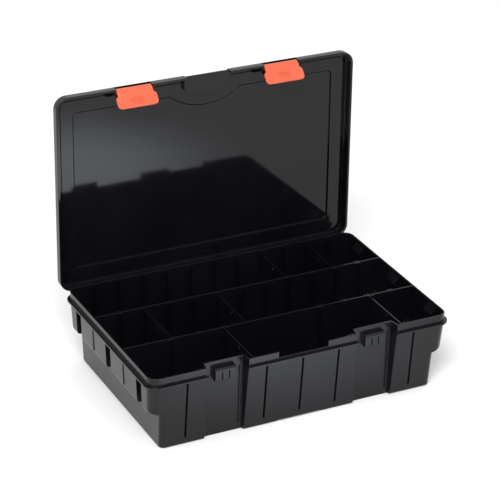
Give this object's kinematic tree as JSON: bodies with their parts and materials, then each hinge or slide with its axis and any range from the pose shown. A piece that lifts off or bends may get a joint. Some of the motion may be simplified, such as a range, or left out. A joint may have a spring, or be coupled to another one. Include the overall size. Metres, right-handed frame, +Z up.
{
  "type": "parts sorting tray",
  "caption": "Black compartment case for small parts, with moulded partitions, lift-out dividers in slots, and a hinged lid held by two orange swing latches.",
  "frame": {"origin": "centre of the tray's flat underside", "axes": "+X along the front towards its right end, +Y from the latch side to the hinge side, +Z up; the lid is open at rest"},
  "size_m": [0.3566, 0.2507, 0.304],
  "materials": {
    "black_plastic": "glossy moulded polypropylene",
    "orange_plastic": "satin moulded plastic",
    "pin_steel": "bright drawn wire"
  },
  "bodies": {
    "tray": {"base_tray": "black_plastic", "hinge_pin_left": "pin_steel", "hinge_pin_right": "pin_steel"},
    "lid": {"lid": "black_plastic"},
    "latch_pin_left": {"latch_pin_left": "pin_steel"},
    "latch_left": {"latch_left": "orange_plastic"},
    "latch_pin_right": {"latch_pin_right": "pin_steel"},
    "latch_right": {"latch_right": "orange_plastic"},
    "divider_front_left": {"divider_front_left": "black_plastic"},
    "divider_front_right": {"divider_front_right": "black_plastic"},
    "divider_middle_left": {"divider_middle_left": "black_plastic"},
    "divider_middle_right": {"divider_middle_right": "black_plastic"},
    "divider_back_left": {"divider_back_left": "black_plastic"},
    "divider_back_right": {"divider_back_right": "black_plastic"}
  },
  "joints": [
    {"name": "lid_hinge", "type": "hinge", "parent": "tray", "child": "lid", "pos_m": [0, 0.116, 0.0748], "axis": [-1, 0, 0], "range_deg": [-91.2, 0]},
    {"name": "latch_pin_left_turn", "type": "hinge", "parent": "lid", "child": "latch_pin_left", "pos_m": [-0.088, 0.12902, 0.29988], "axis": [-1, 0, 0], "range_deg": [0, 49.7]},
    {"name": "latch_left_swing", "type": "hinge", "parent": "latch_pin_left", "child": "latch_left", "pos_m": [-0.088, 0.12902, 0.29988], "axis": [-1, 0, 0], "range_deg": [0, 90]},
    {"name": "latch_pin_right_turn", "type": "hinge", "parent": "lid", "child": "latch_pin_right", "pos_m": [0.088, 0.12902, 0.29988], "axis": [-1, 0, 0], "range_deg": [0, 49.7]},
    {"name": "latch_right_swing", "type": "hinge", "parent": "latch_pin_right", "child": "latch_right", "pos_m": [0.088, 0.12902, 0.29988], "axis": [-1, 0, 0], "range_deg": [0, 90]},
    {"name": "divider_front_left_lift", "type": "slide", "parent": "tray", "child": "divider_front_left", "axis": [0, 0, 1], "range_m": [0, 0.08]},
    {"name": "divider_front_right_lift", "type": "slide", "parent": "tray", "child": "divider_front_right", "axis": [0, 0, 1], "range_m": [0, 0.08]},
    {"name": "divider_middle_left_lift", "type": "slide", "parent": "tray", "child": "divider_middle_left", "axis": [0, 0, 1], "range_m": [0, 0.08]},
    {"name": "divider_middle_right_lift", "type": "slide", "parent": "tray", "child": "divider_middle_right", "axis": [0, 0, 1], "range_m": [0, 0.08]},
    {"name": "divider_back_left_lift", "type": "slide", "parent": "tray", "child": "divider_back_left", "axis": [0, 0, 1], "range_m": [0, 0.08]},
    {"name": "divider_back_right_lift", "type": "slide", "parent": "tray", "child": "divider_back_right", "axis": [0, 0, 1], "range_m": [0, 0.08]}
  ],
  "couplings": [
    {"joint": "latch_pin_left_turn", "follows": "lid_hinge", "ratio": -0.54276},
    {"joint": "latch_pin_right_turn", "follows": "lid_hinge", "ratio": -0.54276}
  ]
}
